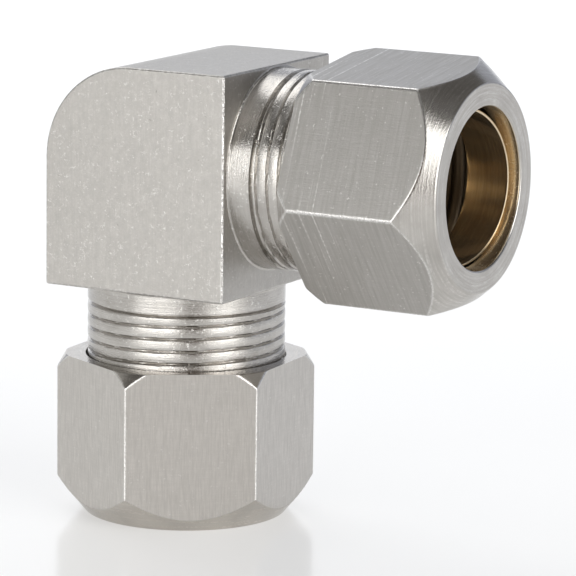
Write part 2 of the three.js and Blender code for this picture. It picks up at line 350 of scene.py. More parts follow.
def spigot(name, face, collar):
    """A spigot along +Z: collar, undercut and thread, from just inside the block's face."""
    angles = even_angles(SPIGOT_COLUMNS)
    fillet_radius = THREAD_CREST_RADIUS + COLLAR_FILLET
    foot = rounded_outline(
        [
            (THREAD_CREST_RADIUS - 1, face - SPIGOT_IN_BLOCK, 0),
            (fillet_radius, face - SPIGOT_FOOT, 0),
            (fillet_radius, face, 0),
        ],
        FOOT_STEP,
    )
    sweep = np.radians(np.arange(15, 91, 15))
    fillet = np.stack(
        [
            THREAD_CREST_RADIUS + COLLAR_FILLET * (1 - np.sin(sweep)),
            face + COLLAR_FILLET * (1 - np.cos(sweep)),
        ],
        axis=1,
    )
    collar_end = face + collar
    fine_start = collar_end - COLLAR_END_FINE
    thread_start = collar_end + UNDERCUT_WIDTH / 2
    plain = np.arange(face + COLLAR_FILLET + SPIGOT_THREAD_STEP, fine_start, COLLAR_STEP)
    fine = np.arange(fine_start, CENTRE_TO_END + SPIGOT_THREAD_STEP / 2, SPIGOT_THREAD_STEP)
    heights = np.concatenate([foot[:, 1], fillet[:, 1], plain, fine])
    base = np.concatenate(
        [foot[:, 0], fillet[:, 0], np.full(len(plain) + len(fine), THREAD_CREST_RADIUS)]
    )
    thread = thread_radius(angles, heights, THREAD_CREST_RADIUS, THREAD_ROOT_RADIUS)
    lead_in = UNDERCUT_RADIUS + THREAD_START_SLOPE * np.abs(heights - thread_start)
    lead_out = THREAD_CREST_RADIUS - SPIGOT_CHAMFER + (CENTRE_TO_END - heights)
    ends = np.minimum(lead_in, lead_out)[:, None]
    thread = smooth_min(thread, ends, THREAD_ROUNDING)
    thread = smooth_max(thread, UNDERCUT_RADIUS, UNDERCUT_ROUND)
    collar_wall = THREAD_CREST_RADIUS + (collar_end - heights) * COLLAR_END_SLOPE
    collar_radius = smooth_min(base, collar_wall, COLLAR_EDGE_ROUND)
    collar_radius = smooth_max(collar_radius, UNDERCUT_RADIUS, UNDERCUT_ROUND)[:, None]
    radii = np.where((heights < thread_start)[:, None], collar_radius + 0 * angles, thread)
    return ring_mesh(name, radii, heights[:, None], angles, capped=True)


def passage(name):
    """The hole inside a spigot, along +Z: a drilled waterway, the tube's socket and a mouth."""
    angles = even_angles(PASSAGE_COLUMNS)
    beyond = 1
    outline = rounded_outline(
        [
            (DRILL_TIP_RADIUS, -WATERWAY_PAST_CENTRE - DRILL_POINT, 0),
            (WATERWAY_RADIUS, -WATERWAY_PAST_CENTRE, 0),
            (WATERWAY_RADIUS, SOCKET_END, SOCKET_EDGE_ROUND),
            (SOCKET_RADIUS, SOCKET_END, SOCKET_EDGE_ROUND),
            (SOCKET_RADIUS, CENTRE_TO_END - MOUTH_DEPTH, MOUTH_EDGE_ROUND),
            (MOUTH_RADIUS, CENTRE_TO_END, 0),
            (MOUTH_RADIUS, CENTRE_TO_END + beyond, 0),
        ],
        PASSAGE_STEP,
    )
    radii = outline[:, :1] + 0 * angles
    mesh = ring_mesh(name, radii, outline[:, 1:], angles, capped=True)
    # The mouth and the start of the socket get dark brass: painted shade.
    in_mouth = outline[:-1, 1] > CENTRE_TO_END - MOUTH_DEPTH - MOUTH_SHADE_MARGIN
    looks = np.repeat(np.where(in_mouth, MOUTH_PAINTED_SHADE_LOOK, BORE_LOOK), len(angles))
    mesh.polygons.foreach_set("material_index", np.append(looks, [BORE_LOOK, MOUTH_PAINTED_SHADE_LOOK]))
    return mesh


def block_outline(inset):
    """The block's outline in X and Z, as a loop, moved inwards by inset."""
    corners = [
        (-BLOCK_LEFT, -BLOCK_BOTTOM, BLOCK_CORNER_ROUND, 180),
        (BLOCK_RIGHT, -BLOCK_BOTTOM, BLOCK_CORNER_ROUND, 270),
        (BLOCK_RIGHT, BLOCK_TOP, BLOCK_CORNER_ROUND, 0),
        (-BLOCK_LEFT, BLOCK_TOP, BLOCK_BIG_ROUND, 90),
    ]
    loop = []
    for x, z, rounding, start in corners:
        centre_x = x - math.copysign(rounding, x)
        centre_z = z - math.copysign(rounding, z)
        steps = max(BLOCK_EDGE_STEPS, round(rounding * BLOCK_ARC_STEPS_PER_MM))
        radius = max(rounding - inset, SMALLEST_ROUND)
        if rounding == BLOCK_CORNER_ROUND:
            past_centre = max(inset - rounding + SMALLEST_ROUND, 0)
            centre_x -= math.copysign(past_centre, x)
            centre_z -= math.copysign(past_centre, z)
        for k in range(steps + 1):
            angle = math.radians(start + 90 * k / steps)
            loop.append((centre_x + radius * math.cos(angle), centre_z + radius * math.sin(angle)))
    return loop


def block(name):
    """The square bar, with one big rounded corner and small rounded edges all round."""
    layers = []
    for k in range(BLOCK_EDGE_STEPS + 1):
        angle = math.radians(90 * k / BLOCK_EDGE_STEPS)
        inset = BLOCK_EDGE_ROUND * (1 - math.sin(angle))
        y = -BLOCK_DEPTH / 2 + BLOCK_EDGE_ROUND * (1 - math.cos(angle))
        layers.append((y, inset))
    layers += [(-y, inset) for y, inset in reversed(layers)]
    points = []
    for y, inset in layers:
        points += [(x * MM, y * MM, z * MM) for x, z in block_outline(inset)]
    count = len(points) // len(layers)
    faces = [tuple(range(count)), tuple(reversed(range(len(points) - count, len(points))))]
    for i in range(len(layers) - 1):
        for j in range(count):
            k = (j + 1) % count
            a, b = i * count, (i + 1) * count
            faces.append((a + k, a + j, b + j, b + k))
    mesh = bpy.data.meshes.new(name)
    mesh.from_pydata(points, [], faces)
    return mesh


def block_wear_and_highlight(mesh):
    """How much painted highlight and wear each point gets, from 0 to 1: how near it is to the middle
    of one of the block's rounded edges, less on the edges other than the front and back ones by the
    side spigot."""
    points = np.zeros(len(mesh.vertices) * 3, np.float32)
    mesh.vertices.foreach_get("co", points)
    x, y, z = (points.reshape(-1, 3) / MM).T
    arc_x, arc_z = BLOCK_BIG_ROUND - BLOCK_LEFT, BLOCK_TOP - BLOCK_BIG_ROUND
    round_part = (x < arc_x) & (z > arc_z)
    arc_gap = BLOCK_BIG_ROUND - np.hypot(x - arc_x, z - arc_z)
    gaps = [
        np.where(round_part, arc_gap, np.minimum(x + BLOCK_LEFT, BLOCK_RIGHT - x)),
        np.where(round_part, arc_gap, np.minimum(z + BLOCK_BOTTOM, BLOCK_TOP - z)),
        BLOCK_DEPTH / 2 - np.abs(y),
    ]
    near_x, near_z, near_y = [np.clip(1 - np.abs(gap) / BLOCK_EDGE_ROUND, 0, 1) for gap in gaps]
    corner = near_x * near_z * ~round_part
    side_rim = near_x * np.where(x > 0, 1, SLIGHT_WEAR_AND_HIGHLIGHT)
    rim = np.maximum(side_rim, near_z * SLIGHT_WEAR_AND_HIGHLIGHT) * near_y
    return np.clip(2 * np.maximum(corner * SLIGHT_WEAR_AND_HIGHLIGHT, rim), 0, 1)


def elbow_body(crossing, looks):
    """The block and its spigots as one mesh, with both passages cut out of it."""
    body = object_of(block("fitting_body"))
    side = turned_object(spigot("side_spigot", BLOCK_RIGHT, SIDE_COLLAR), SIDEWAYS)
    lower = turned_object(spigot("lower_spigot", BLOCK_BOTTOM, LOWER_COLLAR), DOWNWARDS)
    holes = [
        turned_object(passage("side_hole"), SIDEWAYS),
        turned_object(passage("lower_hole"), DOWNWARDS),
    ]
    for thing, look in [(body, BLOCK_LOOK), (side, SIDE_LOOK), (lower, LOWER_LOOK)]:
        thing.data.polygons.foreach_set("material_index", [look] * len(thing.data.polygons))
    for thing in [body, side, lower, *holes]:
        for material in looks:
            thing.data.materials.append(material)
    combine(body, side, "UNION")
    combine(body, lower, "UNION")
    for hole in holes:
        combine(body, hole, "DIFFERENCE")
    smooth_shading(body, BODY_CREASE)
    # Painted highlight and wear along the block's rounded edges.
    add_attribute(body.data, "wear_and_highlight", block_wear_and_highlight(body.data))
    body.location = crossing
    return body


# ---- The nuts --------------------------------------------------------------------------------


def hexagon_reach(angles, corner):
    """How far the nearest two of the hexagon's flats lie from the axis, at each angle."""
    least_facing = 0.3
    far = 1e3
    from_first = angles[:, None] - corner - math.radians(30)
    offsets = (from_first - np.radians(np.arange(6) * 60)) % (2 * math.pi)
    offsets = np.where(offsets > math.pi, offsets - 2 * math.pi, offsets)
    facing = np.cos(offsets)
    reach = NUT_ACROSS_FLATS / 2 / np.maximum(facing, least_facing)
    reach = np.where(facing > least_facing, reach, far)
    reach.sort(axis=1)
    return reach[:, 0], reach[:, 1]


def nut_angles(corner):
    """Angles round a nut, close together at each corner of the hexagon."""
    near = 1.5
    fine = 0.2
    coarse = 1.0
    offsets = np.concatenate(
        [
            np.arange(0, near, fine),
            np.arange(near, 60 - near, coarse),
            np.arange(60 - near, 60, fine),
        ]
    )
    sectors = [corner + np.radians(60 * k + offsets) for k in range(6)]
    return np.concatenate(sectors)


def nut_outside(face, back):
    """The outline of a nut's blank without its hexagon, in three stretches: the back, the middle,
    and the front with the hole as far as the seat."""
    front_start = face - (NUT_WIDEST_RADIUS - NUT_FACE_RADIUS) * NUT_FRONT_SLOPE
    back_end = back + (NUT_WIDEST_RADIUS - NUT_BACK_FACE_RADIUS) * NUT_BACK_SLOPE
    back_part = rounded_outline(
        [
            (NUT_ENTRY_RADIUS, back, 0),
            (NUT_BACK_FACE_RADIUS, back, NUT_BACK_FACE_ROUND),
            (NUT_WIDEST_RADIUS, back_end, 0),
        ],
        NUT_BACK_STEP,
    )
    middle = rounded_outline(
        [(NUT_WIDEST_RADIUS, back_end, 0), (NUT_WIDEST_RADIUS, front_start, 0)], NUT_MIDDLE_STEP
    )
    front_part = rounded_outline(
        [
            (NUT_WIDEST_RADIUS, front_start, 0),
            (NUT_FACE_RADIUS, face, NUT_FACE_ROUND),
            (NUT_HOLE_RADIUS, face, NUT_HOLE_ROUND),
            (NUT_HOLE_RADIUS, face - NUT_SEAT_DEPTH, 0),
        ],
        NUT_FRONT_STEP,
    )
    return back_part, middle[1:], front_part[1:]


def nut_chamber(face):
    """The outline inside a nut, from just past the seat's edge to the runout of its thread."""
    seat = face - NUT_SEAT_DEPTH
    thread_top = face - NUT_THREAD_DEPTH
    outline = rounded_outline(
        [
            (NUT_HOLE_RADIUS, seat, 0),
            (NUT_CHAMBER_RADIUS, seat - (NUT_CHAMBER_RADIUS - NUT_HOLE_RADIUS), NUT_CHAMBER_ROUND),
            (NUT_CHAMBER_RADIUS, thread_top + NUT_RELIEF_CONE, 0),
            (NUT_CREST_RADIUS, thread_top, 0),
            (NUT_CREST_RADIUS, thread_top - NUT_RUNOUT, 0),
        ],
        NUT_CHAMBER_STEP,
    )
    return outline[1:]


def nut_thread(angles, face, back):
    """The heights and radii of a nut's thread, from its runout to its entry at the back."""
    start = face - NUT_THREAD_DEPTH - NUT_RUNOUT - NUT_THREAD_STEP
    heights = np.arange(start, back + NUT_THREAD_STEP / 2, -NUT_THREAD_STEP)
    thread = thread_radius(angles, heights, NUT_CREST_RADIUS, NUT_ROOT_RADIUS)
    entry = NUT_ENTRY_RADIUS - (heights - back) * NUT_ENTRY_SLOPE
    return heights, smooth_max(thread, entry[:, None], NUT_ENTRY_ROUND)


def nut_wear_and_highlight(past_lathe, past_corner, on_lathe, edge_round, back_rings, front_wear_and_highlight):
    """How much painted highlight and wear each point outside a nut gets, from 0 to 1: at the
    hexagon's corners, and along the creases, with the front's share as the creases' share after
    the first back_rings rings."""
    corner_wear_and_highlight = np.clip(1 - past_corner / (edge_round + NUT_CORNER_WEAR_AND_HIGHLIGHT), 0, 1)[None, :]
    crease_wear_and_highlight = np.clip(1 - np.abs(past_lathe) / NUT_CREASE_WEAR_AND_HIGHLIGHT, 0, 1)
    crease_wear_and_highlight[back_rings:] *= front_wear_and_highlight
    return np.maximum(corner_wear_and_highlight * (1 - on_lathe), crease_wear_and_highlight)


def nut_looks(outside, turned, thread_heights, back):
    """Each ring's place in a nut's list of looks: plated outside and at the thread's entry, bare in
    the hole, and dark brass inside, which is painted shade."""
    places = np.full(len(turned) + len(thread_heights), NUT_PLATED)
    places[np.argmax(outside[:, 0] < NUT_HOLE_RADIUS + NUT_BARE_MARGIN) :] = NUT_BARE
    places[len(outside) - 1 :] = NUT_PAINTED_SHADE
    places[len(turned) :][thread_heights < back + NUT_PLATED_ENTRY] = NUT_PLATED
    return places


def nut(name, face, length, corner, edge_round, front_wear_and_highlight, looks):
    """A nut along +Z. Its outer face is at height face and its back at face - length. The front's
    share is how much painted highlight and wear the creases of its middle and front get, from 0 to 1."""
    angles = nut_angles(corner)
    back = face - length
    back_part, middle, front_part = nut_outside(face, back)
    outside = np.concatenate([back_part, middle, front_part])
    turned = np.concatenate([outside, nut_chamber(face)])
    thread_heights, thread = nut_thread(angles, face, back)
    nearest, second = hexagon_reach(angles, corner)
    hexagon = smooth_min(nearest, second, edge_round)[None, :]
    radii = turned[:, :1] + 0 * hexagon
    radii[: len(outside)] = smooth_min(outside[:, :1], hexagon, NUT_CREASE_ROUND)
    radii = np.concatenate([radii, thread])
    heights = np.concatenate([turned[:, 1], thread_heights])[:, None]
    mesh = ring_mesh(name, radii, heights, angles, capped=False)

    outer = len(outside)
    past_lathe = hexagon - outside[:, :1]
    on_lathe = np.ones(radii.shape)
    on_lathe[:outer] = np.clip(past_lathe / NUT_CREASE_ROUND + 0.5, 0, 1)
    add_attribute(mesh, "turned", on_lathe)
    # Painted highlight and wear at the hexagon's corners and along the creases.
    wear_and_highlight = np.zeros(radii.shape)
    wear_and_highlight[:outer] = nut_wear_and_highlight(
        past_lathe, second - nearest, on_lathe[:outer], edge_round, len(back_part), front_wear_and_highlight
    )
    add_attribute(mesh, "wear_and_highlight", wear_and_highlight)

    for material in looks:
        mesh.materials.append(material)
    places = nut_looks(outside, turned, thread_heights, back)
    mesh.polygons.foreach_set("material_index", np.repeat(places, len(angles)))
    return object_of(mesh)


# ---- The olives ------------------------------------------------------------------------------


def olive(name, look):
    """An olive with the middle of its outer end at the origin: a ring with a cone at each end."""
    inner_cone = OLIVE_CONE - OLIVE_LENGTH
    corners = [
        (OLIVE_BORE_RADIUS, -OLIVE_LENGTH / 2, 0),
        (OLIVE_BORE_RADIUS, -OLIVE_LENGTH, OLIVE_BORE_ROUND),
        (OLIVE_END_RADIUS, -OLIVE_LENGTH, OLIVE_END_ROUND),
        (OLIVE_MIDDLE_RADIUS, inner_cone, OLIVE_MIDDLE_ROUND),
        (OLIVE_MIDDLE_RADIUS, -OLIVE_CONE, OLIVE_MIDDLE_ROUND),
        (OLIVE_END_RADIUS, 0, OLIVE_END_ROUND),
        (OLIVE_BORE_RADIUS, 0, OLIVE_BORE_ROUND),
        (OLIVE_BORE_RADIUS, -OLIVE_LENGTH / 2, 0),
    ]
    outline = rounded_outline(corners, OLIVE_STEP)[:-1]
    angles = even_angles(OLIVE_COLUMNS)
    mesh = ring_mesh(name, outline[:, :1] + 0 * angles, outline[:, 1:], angles, capped=False)
    mesh.materials.append(look)
    return object_of(mesh)


# ---- Node trees ------------------------------------------------------------------------------


class Nodes:
    """A node tree, with short calls for the nodes that the materials and the studio use."""

    def __init__(self, tree):
        self.tree = tree

    def connect(self, socket, value):
        if isinstance(value, bpy.types.NodeSocket):
            self.tree.links.new(value, socket)
        else:
            socket.default_value = value

    def node(self, kind, inputs=(), **settings):
        made = self.tree.nodes.new(kind)
        for name, value in settings.items():
            setattr(made, name, value)
        for name, value in dict(inputs).items():
            self.connect(made.inputs[name], value)
        return made

    def math(self, operation, *values):
        made = self.node("ShaderNodeMath", operation=operation)
        for socket, value in zip(made.inputs, values):
            self.connect(socket, value)
        return made.outputs[0]

    def blend(self, factor, a, b):
        """A mix of two numbers."""
        made = self.node("ShaderNodeMix", {"Factor": factor, "A": a, "B": b})
        return made.outputs["Result"]

    def mix(self, factor, a, b):
        """A mix of two colours."""
        made = self.node("ShaderNodeMix", data_type="RGBA")
        for index, value in zip((0, 6, 7), (factor, a, b)):
            self.connect(made.inputs[index], value)
        return made.outputs[2]

    def ramp(self, value, low, high, to_low=0.0, to_high=1.0, shape="LINEAR"):
        """Takes low to to_low and high to to_high, and holds those beyond them."""
        inputs = {
            "Value": value,
            "From Min": low,
            "From Max": high,
            "To Min": to_low,
            "To Max": to_high,
        }
        return self.node("ShaderNodeMapRange", inputs, interpolation_type=shape).outputs["Result"]

    def step(self, value, low, high):
        """A soft step from 0 at low to 1 at high."""
        return self.ramp(value, low, high, shape="SMOOTHSTEP")

    def band(self, value, ends, soft):
        """1 between the two ends and 0 beyond them, with soft edges."""
        start, end = ends
        rise = self.step(value, start - soft, start + soft)
        fall = self.step(value, end + soft, end - soft)
        return self.math("MULTIPLY", rise, fall)


# ---- Materials -------------------------------------------------------------------------------

# Scales are in texture units to the millimetre along X, Y and Z, and depths in millimetres.

NICKEL_CLEAR = (0.67, 0.644, 0.61, 1)
NICKEL_EVEN = (0.56, 0.538, 0.508, 1)
NICKEL_LIGHT = (0.60, 0.578, 0.55, 1)
NICKEL_MIDDLE = (0.51, 0.49, 0.46, 1)
NICKEL_DARK = (0.33, 0.31, 0.285, 1)
NICKEL_SOFT = (0.53, 0.515, 0.495, 1)
NICKEL_SHADE = (0.44, 0.425, 0.402, 1)
NICKEL_WARM = (0.53, 0.49, 0.44, 1)
POLISHED = (0.93, 0.92, 0.90, 1)
OLIVE_LIGHT = (0.92, 0.79, 0.58, 1)
OLIVE_DARK = (0.66, 0.54, 0.38, 1)
BORE_LIGHT = (0.90, 0.78, 0.59, 1)
BORE_DARK = (0.66, 0.55, 0.40, 1)
# Dark brass for the insides of the nuts and the spigots' mouths: painted shade.
RECESS_SHADE_LIGHT = (0.30, 0.235, 0.16, 1)
RECESS_SHADE_DARK = (0.18, 0.14, 0.10, 1)
PAPER_LIGHT = (0.64, 0.64, 0.635, 1)
PAPER_DARK = (0.62, 0.62, 0.615, 1)

BLOCK_PEBBLE_DEPTH = 0.012
BLOCK_SPOT_DEPTH = 0.025
BLOCK_BURR_DEPTH = 0.06
BLOCK_WORN_ROUGHNESS = 0.2
GROOVES_PER_MM = 7
GROOVE_DEPTH = 0.03
SPECK_DEPTH = 0.018
NUT_MARK_DEPTH = 0.014
NUT_PEBBLE_DEPTH = 0.010
NUT_WORN_ROUGHNESS = 0.22
BRASS_MARK_DEPTH = 0.005
OLIVE_ROUGHNESS = (0.13, 0.20)
BORE_ROUGHNESS = (0.2, 0.28)
RECESS_ROUGHNESS = (0.35, 0.45)
PAPER_FIBRE_DEPTH = 0.01
PAPER_ROUGHNESS = 0.18
PAPER_GLOW = 0.39

# The side nut's flats have lines across its axis, and the lower nut's have fine ones along it.
SIDE_NUT_GRAIN = (0.15, 0.15, 3)
LOWER_NUT_GRAIN = (5, 5, 0.4)

# Scratches are densest up to the first height, and least dense from the second, in millimetres
# from the crossing of the axes.
SCRATCHED_FROM = 22
SCRATCHED_TO = 29


class Shader(Nodes):
    """A metal's or the paper's material, with its textures placed in the object's own space."""

    def __init__(self, name):
        self.material = bpy.data.materials.new(name)
        self.material.use_nodes = True
        super().__init__(self.material.node_tree)
        self.surface = self.tree.nodes["Principled BSDF"]
        self.place = self.node("ShaderNodeTexCoord").outputs["Object"]

    def attribute(self, name):
        return self.node("ShaderNodeAttribute", attribute_name=name).outputs["Fac"]

    def scaled(self, per_mm):
        """Coordinates with this many texture units to the millimetre along each axis."""
        scale = [s / MM for s in per_mm]
        made = self.node("ShaderNodeMapping", {"Vector": self.place, "Scale": scale})
        return made.outputs[0]

    def lathe_place(self, per_mm, per_turn=3.0):
        """Coordinates that run in rings round +Z, for turning marks."""
        split = self.node("ShaderNodeSeparateXYZ", {"Vector": self.place}).outputs
        across = self.node("ShaderNodeCombineXYZ", {"X": split[0], "Y": split[1]}).outputs[0]
        radius = self.node("ShaderNodeVectorMath", {0: across}, operation="LENGTH").outputs["Value"]
        angle = self.math("ARCTAN2", split[1], split[0])
        inputs = {
            "X": self.math("MULTIPLY", radius, per_mm / MM),
            "Y": self.math("MULTIPLY", split[2], per_mm / MM),
            "Z": self.math("MULTIPLY", self.math("SINE", angle), per_turn),
        }
        return self.node("ShaderNodeCombineXYZ", inputs).outputs[0]

    def noise(self, place, detail=2.0, roughness=0.5):
        inputs = {"Vector": place, "Scale": 1.0, "Detail": detail, "Roughness": roughness}
        return self.node("ShaderNodeTexNoise", inputs).outputs["Fac"]

    def bump(self, height, depth_mm, after=None):
        inputs = {"Height": height, "Distance": depth_mm * MM, "Strength": 1.0}
        if after is not None:
            inputs["Normal"] = after
        return self.node("ShaderNodeBump", inputs).outputs[0]

    def finish(self, colour, roughness, normal, metallic=1.0):
        self.connect(self.surface.inputs["Base Color"], colour)
        self.connect(self.surface.inputs["Roughness"], roughness)
        self.connect(self.surface.inputs["Normal"], normal)
        self.connect(self.surface.inputs["Metallic"], metallic)
        return self.material


def satin_nickel(name):
    """The block: plated over a drawn bar, finely pebbled, with a faint upright grain, a few upright
    scratches, pits and soft bright spots. Its edges are painted bright, most by the side spigot:
    painted highlight and wear."""
    s = Shader(name)
    wear_and_highlight = s.attribute("wear_and_highlight")
    grain = s.noise(s.scaled((4.5, 4.5, 0.25)), detail=3, roughness=0.6)
    fine = s.noise(s.scaled((4, 4, 4)), detail=3, roughness=0.7)
    blotches = s.noise(s.scaled((1.1, 1.1, 0.8)), detail=3, roughness=0.6)
    crowding = s.noise(s.scaled((0.3, 0.3, 0.2)), detail=3)
    spots = s.ramp(s.noise(s.scaled((2.1, 2.1, 2.1)), detail=3, roughness=0.75), 0.58, 0.70)
    spots = s.math("MULTIPLY", spots, s.ramp(crowding, 0.35, 0.65, 0.25, 1.0))
    pits = s.ramp(s.noise(s.scaled((2.3, 2.3, 2.1)), detail=1), 0.27, 0.22)
    scratch = s.ramp(s.noise(s.scaled((1.3, 1.3, 0.045)), detail=4, roughness=0.7), 0.715, 0.74)
    burr = s.ramp(s.noise(s.scaled((2.5, 2.5, 2.5)), detail=2), 0.42, 0.58)
    colour = s.mix(s.ramp(fine, 0.25, 0.75), NICKEL_MIDDLE, NICKEL_LIGHT)
    colour = s.mix(s.ramp(grain, 0.3, 0.7, 0.0, 0.5), colour, NICKEL_SHADE)
    colour = s.mix(s.ramp(blotches, 0.3, 0.7, 0.0, 0.6), colour, NICKEL_SHADE)
    colour = s.mix(s.math("MULTIPLY", spots, 0.6), colour, POLISHED)
    colour = s.mix(s.math("MULTIPLY", scratch, 0.5), colour, POLISHED)
    colour = s.mix(s.math("MULTIPLY", pits, 0.4), colour, NICKEL_DARK)
    # Painted highlight and wear: bright colour along the rounded edges.
    edge_wear_and_highlight = s.math("MULTIPLY", wear_and_highlight, s.ramp(burr, 0, 1, 0.25, 1.0))
    colour = s.mix(edge_wear_and_highlight, colour, POLISHED)
    roughness = s.ramp(fine, 0.25, 0.75, 0.44, 0.34)
    roughness = s.blend(edge_wear_and_highlight, roughness, BLOCK_WORN_ROUGHNESS)
    relief = s.math("ADD", s.math("MULTIPLY", grain, 0.4), fine)
    normal = s.bump(relief, BLOCK_PEBBLE_DEPTH)
    normal = s.bump(s.math("SUBTRACT", spots, pits), BLOCK_SPOT_DEPTH, after=normal)
    normal = s.bump(s.math("MULTIPLY", wear_and_highlight, burr), BLOCK_BURR_DEPTH, after=normal)
    return s.finish(colour, roughness, normal)


def turned_nickel(name, along_axis):
    """A thread and its collar: bright, with fine turning grooves round the axis and torn specks.
    along_axis says which of X, Y and Z the axis is."""
    s = Shader(name)
    groove_scale = [GROOVES_PER_MM if along else 0.3 for along in along_axis]
    grooves = s.noise(s.scaled(groove_scale), detail=3, roughness=0.7)
    band_scale = [2.5 if along else 0.05 for along in along_axis]
    bands = s.noise(s.scaled(band_scale), detail=2)
    fine = s.noise(s.scaled((4.5, 4.5, 4.5)), detail=3, roughness=0.7)
    specks = s.ramp(s.noise(s.scaled((2.6, 2.6, 2.6)), detail=2, roughness=0.7), 0.60, 0.70)
    mottle = s.noise(s.scaled((0.5, 0.5, 0.5)), detail=2)
    colour = s.mix(s.ramp(mottle, 0.3, 0.7), NICKEL_MIDDLE, NICKEL_LIGHT)
    colour = s.mix(s.ramp(bands, 0.3, 0.7, 0, 0.3), colour, NICKEL_DARK)
    colour = s.mix(s.math("MULTIPLY", specks, 0.5), colour, POLISHED)
    roughness = s.ramp(fine, 0.3, 0.7, 0.12, 0.20)
    normal = s.bump(grooves, GROOVE_DEPTH)
    normal = s.bump(s.math("ADD", fine, specks), SPECK_DEPTH, after=normal)
    return s.finish(colour, roughness, normal)


def flat_scratches(s, flat_grain, dots, share):
    """Bright dotted scratches along the grain of a nut's flats, denser near its back."""
    long_grain = [0.7 * g if g > 1 else 0.24 * g for g in flat_grain]
    lines = s.noise(s.scaled(long_grain), detail=3)
    depth = s.node("ShaderNodeSeparateXYZ", {"Vector": s.place}).outputs["Z"]
    near_back = s.ramp(depth, SCRATCHED_FROM * MM, SCRATCHED_TO * MM, 0.10, 0.0)
    scratch = s.ramp(s.math("ADD", lines, near_back), 0.70, 0.78)
    dotted = s.math("MULTIPLY", scratch, s.ramp(dots, 0, 1, 0.3, 1))
    return s.math("MULTIPLY", dotted, share)


def nut_nickel(name, flat_grain, flat_dark, flat_light, cone_light, scratch_share):
    """A nut's outside: ground flats, their grain along flat_grain, and turned chamfers and faces.
    scratch_share is how strong the flats' bright dotted scratches are, from 0 to 1. Its corners and
    creases are painted bright: painted highlight and wear."""
    s = Shader(name)
    turned = s.attribute("turned")
    wear_and_highlight = s.attribute("wear_and_highlight")
    lines = s.noise(s.scaled(flat_grain), detail=4, roughness=0.65)
    fine = s.noise(s.scaled((5, 5, 5)), detail=2, roughness=0.7)
    cross = s.noise(s.scaled([5 if g < 1 else 0.5 for g in flat_grain]), detail=2)
    dots = s.ramp(s.noise(s.scaled((2.6, 2.6, 2.6)), detail=1), 0.44, 0.6)
    scratch = flat_scratches(s, flat_grain, dots, scratch_share)
    spark = s.ramp(s.noise(s.scaled((2.9, 2.9, 2.9)), detail=1), 0.70, 0.75)
    spark = s.math("MULTIPLY", spark, 0.3 + 0.2 * scratch_share)
    rings = s.noise(s.lathe_place(4.0), detail=3, roughness=0.6)
    mottle = s.noise(s.scaled((0.3, 0.3, 0.3)), detail=2)
    flat = s.mix(s.ramp(lines, 0.36, 0.64), flat_dark, flat_light)
    flat = s.mix(s.ramp(cross, 0.35, 0.65, 0, 0.4), flat, flat_dark)
    flat = s.mix(s.math("MAXIMUM", s.math("MULTIPLY", scratch, 0.8), spark), flat, POLISHED)
    cone = s.mix(s.ramp(rings, 0.3, 0.7), NICKEL_MIDDLE, cone_light)
    cone = s.mix(s.ramp(mottle, 0.35, 0.7, 0, 0.3), cone, NICKEL_DARK)
    cone = s.mix(s.math("MULTIPLY", dots, s.ramp(rings, 0.5, 0.75, 0, 0.35)), cone, POLISHED)
    colour = s.mix(turned, flat, cone)
    # Painted highlight and wear: bright colour at the corners and creases.
    spotty_wear_and_highlight = s.math("MULTIPLY", wear_and_highlight, s.ramp(fine, 0.38, 0.6, 0.2, 1.0))
    colour = s.mix(spotty_wear_and_highlight, colour, POLISHED)
    flat_roughness = s.ramp(lines, 0.25, 0.75, 0.42, 0.30)
    cone_roughness = s.ramp(fine, 0.3, 0.7, 0.15, 0.24)
    roughness = s.blend(turned, flat_roughness, cone_roughness)
    roughness = s.blend(spotty_wear_and_highlight, roughness, NUT_WORN_ROUGHNESS)
    marks = s.blend(turned, s.math("ADD", lines, s.math("MULTIPLY", cross, 0.5)), rings)
    normal = s.bump(marks, NUT_MARK_DEPTH)
    normal = s.bump(fine, NUT_PEBBLE_DEPTH, after=normal)
    return s.finish(colour, roughness, normal)


def bare_brass(name, light, dark, roughness, metallic):
    """Bare brass with fine turning marks, darker and browner in patches. roughness is its least
    and greatest. The less it is metallic, the more it is dulled by tarnish."""
    s = Shader(name)
    rings = s.noise(s.lathe_place(3.5, per_turn=2.0), detail=3, roughness=0.6)
    tarnish = s.noise(s.scaled((0.25, 0.25, 0.25)), detail=3)
    fine = s.noise(s.scaled((5, 5, 5)), detail=2)
    colour = s.mix(s.ramp(rings, 0.3, 0.7), dark, light)
    colour = s.mix(s.ramp(tarnish, 0.4, 0.7, 0, 0.5), colour, dark)
    patchy = s.ramp(fine, 0.3, 0.7, *roughness)
    return s.finish(colour, patchy, s.bump(rings, BRASS_MARK_DEPTH), metallic)


def floor_paper(name):
    """White paper with a slight gloss, lit a little from within so that it stays pale."""
    s = Shader(name)
    fibre = s.noise(s.scaled((0.02, 0.02, 0.02)), detail=2)
    s.connect(s.surface.inputs["Emission Color"], (1, 1, 1, 1))
    s.connect(s.surface.inputs["Emission Strength"], PAPER_GLOW)
    colour = s.mix(fibre, PAPER_DARK, PAPER_LIGHT)
    normal = s.bump(fibre, PAPER_FIBRE_DEPTH)
    return s.finish(colour, PAPER_ROUGHNESS, normal, metallic=0.0)


# ---- Camera and floor ------------------------------------------------------------------------

CAMERA_AZIMUTH = math.radians(29.29)
CAMERA_ELEVATION = math.radians(10.86)
CAMERA_ROLL = math.radians(0.724)
CAMERA_DISTANCE = 0.4678
CAMERA_LENS = 244.2
CAMERA_SENSOR = 36
CAMERA_REACH = 50
AIM_RIGHT = 0.0120
AIM_UP = -0.0155

FLOOR_SIZE = 12.0


